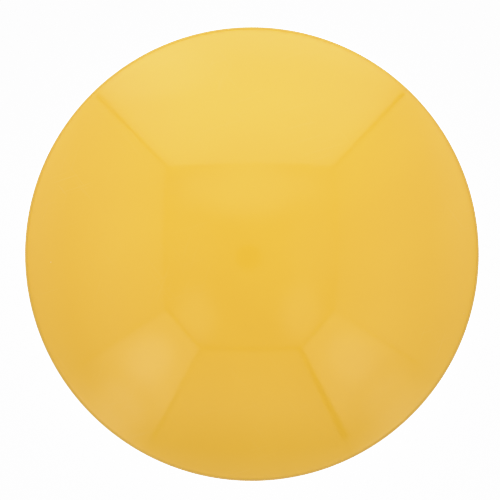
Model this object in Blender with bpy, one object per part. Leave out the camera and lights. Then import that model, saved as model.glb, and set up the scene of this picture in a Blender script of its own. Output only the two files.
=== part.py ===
"""Floor curling stone without a handle: a domed cover on a base that rolls on three ball units.

Sizes are in millimetres and become metres when a mesh is made. +Z is up, the origin is on the
stone's axis at floor level, and the balls' lowest points are at Z = 0.
"""
import math

import bmesh
import bpy
from mathutils import Matrix, Vector

MM = 0.001
GAP = 0.3                    # left between pieces that touch
OVERRUN = 1.0                # how far a cutter runs past the surface that it cuts
WALL = 3.5                   # moulded cover and base
RIB_THICKNESS = 2.0

# Cover: a shallow dome with a vertical skirt
COVER_RADIUS = 140.0
APEX_HEIGHT = 94.0
DOME_RISE = 27.0             # of the dome's sphere, from the cover's radius to the apex
EDGE_FILLET = 4.0
COLLAR_INNER, COLLAR_OUTER, COLLAR_BOTTOM = 37.0, 39.5, 80.0
BOSS_RADIUS = 6.0
COVER_RIB_BOTTOM = 66.0
PILOT_DEPTH = 25.0

# Base: flat underside, tapered wall, and a spigot inside the bumper
BASE_BOTTOM = 8.0
BASE_FLOOR = 12.0
FLOOR_RADIUS = 121.0
PARTING_HEIGHT = 30.0        # top of the base's rim, posts and ring rib
SPIGOT_RADIUS = 133.0
SPIGOT_HEIGHT = 16.0
SPIGOT_WALL = 3.0
POST_RADIUS = 6.5
MIDDLE_POST_RADIUS = 16.0
RING_RIB_INNER, RING_RIB_OUTER = 58.0, 61.0
BASE_RIB_TOP = 24.0
UNIT_SEAT_TOP = 17.0

# Bumper
BUMPER_HEIGHT = 12.0
BUMPER_CREST = 142.5

# Shell screws, on a circle through the posts and bosses
SHELL_SCREW_PITCH = 112.0
SHELL_SCREW_COUNT = 6
SHELL_HEAD_RADIUS, SHELL_HEAD_HEIGHT, SHELL_SOCKET = 4.3, 3.0, 1.9
SHELL_SHANK_RADIUS, SHELL_SHANK_LENGTH = 2.0, 38.0
SHELL_HEAD_SEAT = 14.0

# Ball units, on a circle; heights inside a unit are from its ball's centre
UNIT_PITCH = 84.0
UNIT_COUNT = 3
UNIT_FIRST_ANGLE = 30.0
BALL_RADIUS = 11.1
SUPPORT_BALL_RADIUS = 1.5
SUPPORT_BALL_COUNT = 9
SUPPORT_BALL_LATITUDE = 40.0
CAGE_HALF_WIDTH, CAGE_HALF_HEIGHT = 0.5, 0.45
CUP_WALL = 1.0
FLANGE_RADIUS = 25.0
FLANGE_THICKNESS = 1.6
FLANGE_SCREW_PITCH = 21.0
FLANGE_SCREW_COUNT = 3
FLANGE_HEAD_RADIUS, FLANGE_HEAD_HEIGHT, FLANGE_SOCKET = 2.7, 1.5, 1.2
FLANGE_SHANK_RADIUS, FLANGE_SHANK_LENGTH = 1.45, 7.5
RETAINER_HEIGHT, RETAINER_LIP = 2.5, 1.1
RETAINER_OPENING = 10.3
WIPER_INNER, WIPER_OUTER = 11.1, 13.0

# Ballast stack
BALLAST_RADIUS, BALLAST_THICKNESS = 95.0, 8.0
PAD_RADIUS, PAD_THICKNESS = 66.0, 2.0
BOLT_RADIUS = 5.0
HEXAGON_RADIUS = 9.8         # corners of the bolt's head and of the nut
BOLT_RECESS_RADIUS, BOLT_RECESS_TOP = 11.0, 15.5
BOLT_HEAD_BOTTOM = 8.8
WASHER_RADIUS, WASHER_THICKNESS = 15.0, 2.0
NUT_HEIGHT = 8.0
FOAM_INNER, FOAM_OUTER = 17.0, 34.0

# Segments round a turned piece
LARGE, MEDIUM, SMALL, BOWL, FINE, TINY = 48, 36, 20, 16, 12, 8

# Derived heights and radii
DOME_RADIUS = (COVER_RADIUS ** 2 + DOME_RISE ** 2) / (2 * DOME_RISE)
DOME_CENTRE = APEX_HEIGHT - DOME_RADIUS
SKIRT_BOTTOM = PARTING_HEIGHT + BUMPER_HEIGHT
SPIGOT_TOP = PARTING_HEIGHT + SPIGOT_HEIGHT
SUPPORT_CENTRE_RADIUS = BALL_RADIUS + GAP + SUPPORT_BALL_RADIUS
SEAT_INNER = SUPPORT_CENTRE_RADIUS + SUPPORT_BALL_RADIUS + GAP
SEAT_OUTER = SEAT_INNER + CUP_WALL
CUP_INNER = SEAT_OUTER + GAP
CUP_OUTER = CUP_INNER + CUP_WALL
FLANGE_BOTTOM = BASE_BOTTOM + GAP
FLANGE_TOP = FLANGE_BOTTOM + FLANGE_THICKNESS
PAD_BOTTOM = PARTING_HEIGHT + GAP
LOWER_PLATE_BOTTOM = PAD_BOTTOM + PAD_THICKNESS + GAP
UPPER_PLATE_BOTTOM = LOWER_PLATE_BOTTOM + BALLAST_THICKNESS + GAP
WASHER_BOTTOM = UPPER_PLATE_BOTTOM + BALLAST_THICKNESS + GAP
NUT_BOTTOM = WASHER_BOTTOM + WASHER_THICKNESS + GAP
NUT_TOP = NUT_BOTTOM + NUT_HEIGHT


def clear_scene():
    for scene_object in list(bpy.data.objects):
        bpy.data.objects.remove(scene_object, do_unlink=True)


def material(name, colour, roughness, metallic=0.0):
    made = bpy.data.materials.new(name)
    made.use_nodes = True
    shader = made.node_tree.nodes["Principled BSDF"]
    shader.inputs["Base Color"].default_value = (*colour, 1.0)
    shader.inputs["Roughness"].default_value = roughness
    shader.inputs["Metallic"].default_value = metallic
    made.diffuse_color = (*colour, 1.0)
    return made


# Shapes

def turned(profile, segments, closed=False, hex_points=()):
    """A piece turned about Z from (radius, height) points.

    An open profile runs from the axis to the axis, and a closed one goes round a ring's section.
    The rings of hex_points, indices into the profile, are hexagonal; they need twelve segments.
    """
    shape = bmesh.new()
    corners = [shape.verts.new((radius, 0.0, height)) for radius, height in profile]
    edges = [shape.edges.new(pair) for pair in zip(corners, corners[1:])]
    if closed:
        edges.append(shape.edges.new((corners[-1], corners[0])))
    bmesh.ops.spin(shape, geom=corners + edges, cent=(0, 0, 0), axis=(0, 0, 1),
                   angle=math.tau, steps=segments, use_merge=True)
    bmesh.ops.remove_doubles(shape, verts=shape.verts, dist=1e-4)
    for index in hex_points:
        flatten_to_hexagon(shape, *profile[index])
    bmesh.ops.recalc_face_normals(shape, faces=shape.faces)
    return shape


def flatten_to_hexagon(shape, radius, height):
    """Draws every second corner of a twelve-sided ring in to the middle of a hexagon's side."""
    for corner in shape.verts:
        reach = math.hypot(corner.co.x, corner.co.y)
        if abs(corner.co.z - height) > 1e-3 or abs(reach - radius) > 1e-3:
            continue
        step = round(math.atan2(corner.co.y, corner.co.x) / (math.pi / 6))
        if step % 2:
            corner.co.x *= math.cos(math.pi / 6)
            corner.co.y *= math.cos(math.pi / 6)


def ring(inner, outer, bottom, top, segments):
    """A flat ring with square edges."""
    return turned([(outer, top), (outer, bottom), (inner, bottom), (inner, top)], segments, True)


def add_cylinder(shape, radius, bottom, top, segments, x, y):
    """A cylinder with the middles of its flats, not its corners, on the directions of X and Y."""
    stand = (Matrix.Translation((x, y, (bottom + top) / 2))
             @ Matrix.Rotation(math.pi / segments, 4, "Z"))
    return bmesh.ops.create_cone(shape, cap_ends=True, segments=segments, radius1=radius,
                                 radius2=radius, depth=top - bottom, matrix=stand)["verts"]


def add_rib(shape, inner, outer, bottom, top, turn):
    """A thin upright wall along a radius, turned about Z by an angle in degrees."""
    middle = ((inner + outer) / 2, 0.0, (bottom + top) / 2)
    stand = (Matrix.Rotation(math.radians(turn), 4, "Z") @ Matrix.Translation(middle)
             @ Matrix.Diagonal((outer - inner, RIB_THICKNESS, top - bottom, 1.0)))
    return bmesh.ops.create_cube(shape, size=1.0, matrix=stand)["verts"]


def add_turned(shape, profile, segments, x, y):
    """Adds a turned piece, moved sideways."""
    other = turned(profile, segments)
    other.transform(Matrix.Translation((x, y, 0.0)))
    copy = bpy.data.meshes.new("copy")
    other.to_mesh(copy)
    other.free()
    shape.from_mesh(copy)
    bpy.data.meshes.remove(copy)


def arc(radius, start, end, steps, centre_radius=0.0, centre_height=0.0):
    """Points of an arc in the profile's plane; angles in degrees from the vertical."""
    points = []
    for step in range(steps + 1):
        angle = math.radians(start + (end - start) * step / steps)
        points.append((centre_radius + radius * math.sin(angle),
                       centre_height + radius * math.cos(angle)))
    return points


def on_circle(pitch, count, first_angle=0.0):
    """The (angle, x, y) of places spread evenly on a circle."""
    places = []
    for number in range(count):
        angle = first_angle + number * 360.0 / count
        places.append((angle, pitch * math.cos(math.radians(angle)),
                       pitch * math.sin(math.radians(angle))))
    return places


def place(shape, name, look=None, parent=None, location=(0, 0, 0), turn=0.0):
    """Makes the object of a shape given in millimetres, in its parent's frame."""
    bmesh.ops.scale(shape, vec=(MM, MM, MM), verts=shape.verts)
    mesh = bpy.data.meshes.new(name)
    shape.to_mesh(mesh)
    shape.free()
    made = bpy.data.objects.new(name, mesh)
    bpy.context.collection.objects.link(made)
    if look:
        mesh.materials.append(look)
        mesh.shade_smooth()
        mesh.set_sharp_from_angle(angle=math.radians(35))
    made.parent = parent
    made.location = Vector(location) * MM
    made.rotation_euler = (0.0, 0.0, math.radians(turn))
    return made


def combine(target, shape, operation, name):
    """Adds a Boolean with a shape that stands in the target's own frame."""
    operand = place(shape, name, parent=target)
    operand.hide_render = True
    operand.display_type = "WIRE"
    boolean = target.modifiers.new(name, "BOOLEAN")
    boolean.operation = operation
    boolean.solver = "EXACT"
    boolean.object = operand


def screw_shape(head_radius, head_height, socket_radius, shank_radius, length):
    """A socket screw that points up; Z = 0 is under its head's bearing face."""
    socket_floor = -0.4 * head_height
    profile = [(0, socket_floor), (socket_radius, socket_floor), (socket_radius, -head_height),
               (head_radius, -head_height), (head_radius, 0), (shank_radius, 0),
               (shank_radius, length), (0, length)]
    return turned(profile, FINE, hex_points=(1, 2))


# Cover, base and bumper

def dome_height(radius, depth=0.0):
    """Height of the dome at a radius, that far below its outer face."""
    return DOME_CENTRE + math.sqrt((DOME_RADIUS - depth) ** 2 - radius ** 2)


def drape(corners):
    """Moves the top corners of a boss or rib down into the middle of the dome's wall."""
    top = max(corner.co.z for corner in corners)
    for corner in corners:
        if corner.co.z > top - GAP:
            corner.co.z = dome_height(math.hypot(corner.co.x, corner.co.y), WALL / 2)


def build_cover(look):
    inner_radius = COVER_RADIUS - WALL
    fillet_radius = COVER_RADIUS - EDGE_FILLET
    fillet_height = dome_height(fillet_radius, EDGE_FILLET)
    rim_angle = math.degrees(math.asin(fillet_radius / (DOME_RADIUS - EDGE_FILLET)))
    profile = arc(DOME_RADIUS, 0.0, rim_angle, 5, 0.0, DOME_CENTRE)
    profile += arc(EDGE_FILLET, rim_angle, 90.0, 3, fillet_radius, fillet_height)[1:]
    profile += [(COVER_RADIUS, SKIRT_BOTTOM), (inner_radius, SKIRT_BOTTOM)]
    between = [COLLAR_OUTER + (inner_radius - COLLAR_OUTER) * share for share in (1, 2 / 3, 1 / 3)]
    profile += [(radius, dome_height(radius, WALL)) for radius in (*between, COLLAR_OUTER)]
    profile += [(COLLAR_OUTER, COLLAR_BOTTOM), (COLLAR_INNER, COLLAR_BOTTOM),
                (COLLAR_INNER, dome_height(COLLAR_INNER, WALL)), (0.0, dome_height(0.0, WALL))]
    cover = place(turned(profile, LARGE), "dome_cover", look)

    bosses, ribs, holes = bmesh.new(), bmesh.new(), bmesh.new()
    boss_bottom = PARTING_HEIGHT + GAP
    rib_inner = (COLLAR_INNER + COLLAR_OUTER) / 2
    rib_outer = SHELL_SCREW_PITCH - BOSS_RADIUS + RIB_THICKNESS
    for angle, x, y in on_circle(SHELL_SCREW_PITCH, SHELL_SCREW_COUNT):
        drape(add_cylinder(bosses, BOSS_RADIUS, boss_bottom, APEX_HEIGHT, FINE, x, y))
        drape(add_rib(ribs, rib_inner, rib_outer, COVER_RIB_BOTTOM, APEX_HEIGHT, angle))
        add_cylinder(holes, SHELL_SHANK_RADIUS + GAP, boss_bottom - OVERRUN,
                     boss_bottom + PILOT_DEPTH, FINE, x, y)
    combine(cover, bosses, "UNION", "cover_bosses")
    combine(cover, ribs, "UNION", "cover_ribs")
    combine(cover, holes, "DIFFERENCE", "cover_pilot_holes")


def base_profile():
    """The base's section, from the bolt's recess out along the underside and back over the top."""
    rim_radius, rim_top = COVER_RADIUS - 1, PARTING_HEIGHT - GAP
    spigot_inner, bolt_hole = SPIGOT_RADIUS - SPIGOT_WALL, BOLT_RADIUS + GAP
    outside = [(BOLT_RECESS_RADIUS, BASE_BOTTOM), (FLOOR_RADIUS, BASE_BOTTOM),
               (FLOOR_RADIUS + 1.5, BASE_BOTTOM + 1), (rim_radius, rim_top - 2),
               (rim_radius, rim_top), (SPIGOT_RADIUS, rim_top), (SPIGOT_RADIUS, SPIGOT_TOP)]
    inside = [(spigot_inner, SPIGOT_TOP), (spigot_inner, rim_top - 1),
              (FLOOR_RADIUS - WALL, BASE_FLOOR), (RING_RIB_OUTER, BASE_FLOOR),
              (RING_RIB_OUTER, PARTING_HEIGHT), (RING_RIB_INNER, PARTING_HEIGHT),
              (RING_RIB_INNER, BASE_FLOOR), (MIDDLE_POST_RADIUS, BASE_FLOOR),
              (MIDDLE_POST_RADIUS, PARTING_HEIGHT), (bolt_hole, PARTING_HEIGHT),
              (bolt_hole, BOLT_RECESS_TOP), (BOLT_RECESS_RADIUS, BOLT_RECESS_TOP)]
    return outside + inside


def stepped_hole(wide, narrow, step_height, top):
    """A cutter's profile: wide from below the base up to a step, then narrow."""
    bottom = BASE_BOTTOM - OVERRUN
    return [(0, bottom), (wide, bottom), (wide, step_height), (narrow, step_height),
            (narrow, top + OVERRUN), (0, top + OVERRUN)]


def build_base(look):
    base = place(turned(base_profile(), LARGE, True), "base_tray", look)
    posts, ribs, holes, pilot_holes = bmesh.new(), bmesh.new(), bmesh.new(), bmesh.new()
    in_floor = (BASE_BOTTOM + BASE_FLOOR) / 2
    screw_hole = stepped_hole(SHELL_HEAD_RADIUS + 0.5, SHELL_SHANK_RADIUS + 2 * GAP,
                              SHELL_HEAD_SEAT, PARTING_HEIGHT)
    for angle, x, y in on_circle(SHELL_SCREW_PITCH, SHELL_SCREW_COUNT):
        add_cylinder(posts, POST_RADIUS, in_floor, PARTING_HEIGHT, FINE, x, y)
        add_rib(ribs, RING_RIB_INNER + 1, SHELL_SCREW_PITCH - POST_RADIUS + RIB_THICKNESS,
                in_floor, BASE_RIB_TOP, angle)
        add_turned(holes, screw_hole, FINE, x, y)
    unit_hole = stepped_hole(FLANGE_RADIUS + GAP, CUP_OUTER + GAP, FLANGE_TOP + GAP,
                             UNIT_SEAT_TOP)
    for angle, x, y in on_circle(UNIT_PITCH, UNIT_COUNT, UNIT_FIRST_ANGLE):
        add_cylinder(posts, FLANGE_RADIUS + 2, in_floor, UNIT_SEAT_TOP, SMALL, x, y)
        add_turned(holes, unit_hole, SMALL, x, y)
        for _, dx, dy in on_circle(FLANGE_SCREW_PITCH, FLANGE_SCREW_COUNT, angle):
            add_cylinder(pilot_holes, FLANGE_SHANK_RADIUS + GAP, FLANGE_TOP,
                         UNIT_SEAT_TOP - OVERRUN, TINY, x + dx, y + dy)
    combine(base, posts, "UNION", "base_posts")
    combine(base, ribs, "UNION", "base_ribs")
    combine(base, holes, "DIFFERENCE", "base_holes")
    combine(base, pilot_holes, "DIFFERENCE", "base_pilot_holes")


def build_bumper(look):
    """A D-section ring whose lip stands up between the cover's skirt and the base's spigot."""
    inner, lip_outer = SPIGOT_RADIUS + GAP, COVER_RADIUS - WALL - GAP
    bottom, top, lip_top = PARTING_HEIGHT, SKIRT_BOTTOM - GAP, SPIGOT_TOP - GAP
    shoulder, haunch = COVER_RADIUS - 1.5, BUMPER_CREST - 0.8
    profile = [(inner, bottom), (shoulder, bottom), (haunch, bottom + 2),
               (BUMPER_CREST, (bottom + top) / 2), (haunch, top - 2), (shoulder, top),
               (lip_outer, top), (lip_outer, lip_top), (inner, lip_top)]
    place(turned(profile, LARGE, True), "bumper_ring", look)


# Ballast stack, held by one bolt through the base's middle post

def build_ballast(looks):
    hole = BOLT_RADIUS + 2 * GAP
    place(ring(hole, PAD_RADIUS, PAD_BOTTOM, PAD_BOTTOM + PAD_THICKNESS, MEDIUM),
          "ballast_pad", looks["rubber"])
    for name, bottom in (("ballast_plate_lower", LOWER_PLATE_BOTTOM),
                         ("ballast_plate_upper", UPPER_PLATE_BOTTOM)):
        place(ring(hole, BALLAST_RADIUS, bottom, bottom + BALLAST_THICKNESS, MEDIUM),
              name, looks["ballast"])
    place(ring(hole, WASHER_RADIUS, WASHER_BOTTOM, WASHER_BOTTOM + WASHER_THICKNESS, SMALL),
          "ballast_washer", looks["zinc"])

    nut_hole = BOLT_RADIUS + GAP
    nut = [(HEXAGON_RADIUS, NUT_TOP), (HEXAGON_RADIUS, NUT_BOTTOM),
           (nut_hole, NUT_BOTTOM), (nut_hole, NUT_TOP)]
    place(turned(nut, FINE, True, hex_points=(0, 1)), "ballast_nut", looks["zinc"])

    head_top, tip = BOLT_RECESS_TOP - GAP, NUT_TOP + 1.5
    bolt = [(0, BOLT_HEAD_BOTTOM), (HEXAGON_RADIUS, BOLT_HEAD_BOTTOM), (HEXAGON_RADIUS, head_top),
            (BOLT_RADIUS, head_top), (BOLT_RADIUS, tip - 1), (BOLT_RADIUS - 1, tip), (0, tip)]
    place(turned(bolt, FINE, hex_points=(1, 2)), "ballast_bolt", looks["zinc"])

    foam_top = dome_height(FOAM_OUTER, WALL) - GAP
    place(ring(FOAM_INNER, FOAM_OUTER, WASHER_BOTTOM, foam_top, MEDIUM),
          "dome_damping_foam", looks["foam"])


def build_shell_screws(look):
    places = on_circle(SHELL_SCREW_PITCH, SHELL_SCREW_COUNT)
    for number, (angle, x, y) in enumerate(places, 1):
        screw = screw_shape(SHELL_HEAD_RADIUS, SHELL_HEAD_HEIGHT, SHELL_SOCKET,
                            SHELL_SHANK_RADIUS, SHELL_SHANK_LENGTH)
        place(screw, f"shell_screw_{number}", look,
              location=(x, y, SHELL_HEAD_SEAT - GAP), turn=angle)


# Ball units; each one's parent empty stands at its ball's centre, where the joint axes cross

def build_unit(number, angle, x, y, looks):
    centre = bpy.data.objects.new(f"ball_unit_{number}", None)
    bpy.context.collection.objects.link(centre)
    centre.location = Vector((x, y, BALL_RADIUS)) * MM
    centre.rotation_euler = (0.0, 0.0, math.radians(angle))

    ball = bmesh.new()
    bmesh.ops.create_icosphere(ball, subdivisions=3, radius=BALL_RADIUS)
    place(ball, f"main_ball_{number}", looks["ball_steel"], centre)
    build_support_balls(number, looks["ball_steel"], centre)

    seat = arc(SEAT_OUTER, 0, 90, 4) + arc(SEAT_INNER, 90, 0, 4)
    place(turned(seat, BOWL), f"ball_seat_{number}", looks["seat_steel"], centre)
    build_housing(number, looks["zinc"], centre)
    build_retainer(number, looks, centre)
    screw_height = FLANGE_BOTTOM - GAP - BALL_RADIUS
    for screw, (turn, dx, dy) in enumerate(on_circle(FLANGE_SCREW_PITCH, FLANGE_SCREW_COUNT), 1):
        shape = screw_shape(FLANGE_HEAD_RADIUS, FLANGE_HEAD_HEIGHT, FLANGE_SOCKET,
                            FLANGE_SHANK_RADIUS, FLANGE_SHANK_LENGTH)
        place(shape, f"flange_screw_{number}_{screw}", looks["black_steel"], centre,
              (dx, dy, screw_height), turn)


def build_support_balls(number, look, centre):
    """The small balls that carry the main ball, joined by the cage that spaces them."""
    latitude = math.radians(SUPPORT_BALL_LATITUDE)
    pitch = SUPPORT_CENTRE_RADIUS * math.cos(latitude)
    height = SUPPORT_CENTRE_RADIUS * math.sin(latitude)
    cage_shape = ring(pitch - CAGE_HALF_WIDTH, pitch + CAGE_HALF_WIDTH, height - CAGE_HALF_HEIGHT,
                      height + CAGE_HALF_HEIGHT, 2 * SUPPORT_BALL_COUNT)
    cage = place(cage_shape, f"support_balls_{number}", look, centre)
    balls = bmesh.new()
    for _, x, y in on_circle(pitch, SUPPORT_BALL_COUNT):
        bmesh.ops.create_uvsphere(balls, u_segments=6, v_segments=4, radius=SUPPORT_BALL_RADIUS,
                                  matrix=Matrix.Translation((x, y, height)))
    combine(cage, balls, "UNION", f"support_ball_set_{number}")


def build_housing(number, look, centre):
    """A pressed cup with a flange."""
    bottom, top = FLANGE_BOTTOM - BALL_RADIUS, FLANGE_TOP - BALL_RADIUS
    profile = arc(CUP_OUTER, 0, 90, 4) + [(CUP_OUTER, top), (FLANGE_RADIUS, top),
                                          (FLANGE_RADIUS, bottom), (CUP_INNER, bottom)]
    profile += arc(CUP_INNER, 90, 0, 4)
    housing = place(turned(profile, SMALL), f"ball_housing_{number}", look, centre)
    holes = bmesh.new()
    for _, x, y in on_circle(FLANGE_SCREW_PITCH, FLANGE_SCREW_COUNT):
        add_cylinder(holes, FLANGE_SHANK_RADIUS + GAP, bottom - OVERRUN, top + OVERRUN, TINY, x, y)
    combine(housing, holes, "DIFFERENCE", f"housing_holes_{number}")


def build_retainer(number, looks, centre):
    """The cap ring that keeps the ball in, and the felt ring that it holds against the ball."""
    top = FLANGE_BOTTOM - GAP - BALL_RADIUS
    bottom, lip_top = top - RETAINER_HEIGHT, top - RETAINER_HEIGHT + RETAINER_LIP
    groove = WIPER_OUTER + GAP
    profile = [(CUP_OUTER, top), (CUP_OUTER - 0.4, lip_top), (CUP_OUTER - 2.4, bottom),
               (RETAINER_OPENING + GAP, bottom), (RETAINER_OPENING, lip_top), (groove, lip_top),
               (groove, top)]
    place(turned(profile, SMALL, True), f"retainer_ring_{number}", looks["zinc"], centre)
    place(ring(WIPER_INNER, WIPER_OUTER, lip_top + GAP, top, BOWL), f"wiper_ring_{number}",
          looks["felt"], centre)


def build_stone():
    clear_scene()
    looks = {
        "zinc": material("zinc_plate", (0.62, 0.64, 0.66), 0.35, 1.0),
        "black_steel": material("black_oxide_steel", (0.06, 0.06, 0.065), 0.45, 0.8),
        "ball_steel": material("polished_ball_steel", (0.72, 0.73, 0.75), 0.12, 1.0),
        "seat_steel": material("hardened_seat_steel", (0.42, 0.42, 0.44), 0.3, 1.0),
        "ballast": material("painted_cast_iron", (0.07, 0.075, 0.08), 0.6, 0.5),
        "rubber": material("black_rubber", (0.03, 0.03, 0.032), 0.75),
        "foam": material("grey_foam", (0.22, 0.22, 0.23), 0.95),
        "felt": material("white_felt", (0.75, 0.73, 0.68), 0.95),
    }
    build_cover(material("yellow_gloss_plastic", (0.86, 0.52, 0.05), 0.16))
    build_base(material("dark_grey_plastic", (0.09, 0.095, 0.10), 0.55))
    build_bumper(looks["rubber"])
    build_ballast(looks)
    build_shell_screws(looks["black_steel"])
    units = on_circle(UNIT_PITCH, UNIT_COUNT, UNIT_FIRST_ANGLE)
    for number, (angle, x, y) in enumerate(units, 1):
        build_unit(number, angle, x, y, looks)


build_stone()
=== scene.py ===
"""Floor curling stone without a handle: a glossy yellow dome on a grey base with three ball units.

Every piece stands in the CAD frame. Shapes are drawn in millimetres and become metres when a
piece is made; materials and the stage work in metres. The stone stands on its three balls on the
floor at Z = 0.
"""
import math

import bmesh
import bpy
from mathutils import Matrix, Vector, noise


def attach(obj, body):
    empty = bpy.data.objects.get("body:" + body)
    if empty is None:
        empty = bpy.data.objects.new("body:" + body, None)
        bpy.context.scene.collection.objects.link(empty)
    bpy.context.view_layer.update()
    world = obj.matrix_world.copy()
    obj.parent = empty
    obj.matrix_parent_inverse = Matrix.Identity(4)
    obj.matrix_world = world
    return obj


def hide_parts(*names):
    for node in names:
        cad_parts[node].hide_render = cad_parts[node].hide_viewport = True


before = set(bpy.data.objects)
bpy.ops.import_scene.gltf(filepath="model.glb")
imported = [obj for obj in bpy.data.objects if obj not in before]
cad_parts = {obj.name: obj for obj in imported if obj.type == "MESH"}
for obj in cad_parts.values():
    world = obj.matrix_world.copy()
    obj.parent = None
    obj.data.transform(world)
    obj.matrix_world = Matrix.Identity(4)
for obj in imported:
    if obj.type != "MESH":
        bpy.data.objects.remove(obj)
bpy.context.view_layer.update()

MM = 0.001
GAP = 0.3
OVERCUT = 1.0       # how far a cutting shape starts outside what it cuts
TWIST = 4.1         # degrees; keeps a post's corners off its neighbours' corners
HOLE_TWIST = 2.3 * TWIST

# Cover
COVER_RADIUS, APEX_HEIGHT, DOME_RISE = 140.0, 94.0, 27.0
DOME_RADIUS = (COVER_RADIUS ** 2 + DOME_RISE ** 2) / (2 * DOME_RISE)
DOME_CENTRE = APEX_HEIGHT - DOME_RADIUS
EDGE_FILLET, WALL, SKIRT_BOTTOM = 4.0, 3.5, 42.0
COLLAR_INNER, COLLAR_OUTER, COLLAR_BOTTOM = 37.0, 39.5, 80.0
BOSS_RADIUS, BOSS_BOTTOM, BOSS_BORE, BOSS_BORE_TOP = 6.0, 30.3, 2.3, 55.3
COVER_RIB_BOTTOM, RIB_THICKNESS = 66.0, 2.0
INTO_DOME = 80.0    # bosses and ribs are drawn up to here, then draped into the dome

# Base
BASE_BOTTOM, BASE_FLOOR, PARTING_HEIGHT = 8.0, 12.0, 30.0
FLOOR_RADIUS, RIM_RADIUS, RIM_TOP = 121.0, 139.0, 29.7
SPIGOT_INNER, SPIGOT_RADIUS, SPIGOT_TOP = 130.0, 133.0, 46.0
POST_RADIUS, MIDDLE_POST_RADIUS = 6.5, 16.0
RING_RIB_INNER, RING_RIB_OUTER, BASE_RIB_TOP = 58.0, 61.0, 24.0
UNIT_SEAT_RADIUS, UNIT_SEAT_TOP = 27.0, 17.0
BOLT_RECESS_RADIUS, BOLT_RECESS_TOP, BOLT_HOLE = 11.0, 15.5, 5.3
SCREW_SEAT_RADIUS, SCREW_SEAT_TOP, SCREW_BORE = 4.8, 14.0, 2.6
UNIT_POCKET_RADIUS, UNIT_POCKET_TOP, UNIT_BORE = 25.3, 10.2, 17.3
PILOT_RADIUS, PILOT_TOP = 1.75, 16.0
BASE_GROOVES, GROOVE_DEPTH = ((49.5, 51.5), (118.8, 120.0)), 0.5
EJECTOR_RADIUS, EJECTOR_DEPTH = 2.9, 0.15
EJECTOR_MARKS = ((97.0, 3, 90.0), (66.0, 3, 90.0), (40.0, 6, 30.0))     # pitch, count, first angle

# Bumper
BUMPER_INNER, BUMPER_CREST, BUMPER_TOP = 133.3, 142.5, 41.7
LIP_OUTER, LIP_TOP = 136.2, 45.7
SPLICE_ANGLE = 292.0

# Fasteners
SHELL_PITCH, SHELL_COUNT = 112.0, 6
UNIT_PITCH, UNIT_COUNT, UNIT_FIRST_ANGLE = 84.0, 3, 30.0
FLANGE_PITCH, FLANGE_COUNT = 21.0, 3
# Socket screws' heads: radius, height, socket, shank radius. Threads: start, end, pitch, depth
SHELL_HEAD, SHELL_THREAD, SHELL_SEAT = (4.3, 3.0, 1.9, 2.0), (14.0, 38.0, 1.0, 0.3), 13.7
FLANGE_HEAD, FLANGE_THREAD, FLANGE_SEAT = (2.7, 1.5, 1.2, 1.45), (1.0, 7.5, 0.5, 0.15), 8.0
BOLT_RADIUS, BOLT_THREAD, HEXAGON_RADIUS = 5.0, (36.0, 61.0, 1.5, 0.45), 9.8

# Ballast and foam
BALLAST_HOLE = 5.6
FOAM_INNER, FOAM_OUTER, FOAM_BOTTOM = 17.0, 34.0, 49.2
FOAM_BULGE_OUT, FOAM_BULGE_IN = 1.4, 0.9

# Ball units; heights from the ball's centre
BALL_RADIUS = 11.1
SUPPORT_RADIUS, SUPPORT_COUNT, SUPPORT_CENTRE, SUPPORT_LATITUDE = 1.5, 9, 12.9, 40.0
SEAT_INNER, SEAT_OUTER, CUP_INNER, CUP_OUTER = 14.7, 15.7, 16.0, 17.0
FLANGE_RADIUS, FLANGE_BOTTOM, FLANGE_TOP = 25.0, 8.3 - BALL_RADIUS, 9.9 - BALL_RADIUS
CAGE_HALF_WIDTH, CAGE_HALF_HEIGHT = 0.5, 0.45
RETAINER_OPENING, RETAINER_DEPTH = 10.7, 2.5
WIPER_INNER, WIPER_OUTER, WIPER_DEPTH = 11.1, 13.0, 1.1


# Shapes

def arc(radius, start, end, steps, across=0.0, height=0.0):
    """Profile points of an arc; angles in degrees from the vertical."""
    angles = [math.radians(start + (end - start) * step / steps) for step in range(steps + 1)]
    return [(across + radius * math.sin(angle), height + radius * math.cos(angle))
            for angle in angles]


def rounded(corners, closed=True, steps=3):
    """A profile from (radius, height, fillet) corners; the fillet may be left out."""
    points, count = [], len(corners)
    for index, corner in enumerate(corners):
        here = Vector(corner[:2])
        fillet = corner[2] if len(corner) > 2 else 0.0
        if not fillet or (not closed and index in (0, count - 1)):
            points.append(tuple(here))
            continue
        before = Vector(corners[index - 1][:2]) - here
        after = Vector(corners[(index + 1) % count][:2]) - here
        reach = fillet / math.tan(before.angle(after) / 2)
        reach = min(reach, 0.49 * before.length, 0.49 * after.length)
        start, end = here + before.normalized() * reach, here + after.normalized() * reach
        for step in range(steps + 1):
            t = step / steps
            points.append(tuple(start * (1 - t) ** 2 + here * 2 * t * (1 - t) + end * t * t))
    return points


def even_angles(count):
    return [math.tau * step / count for step in range(count)]


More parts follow.
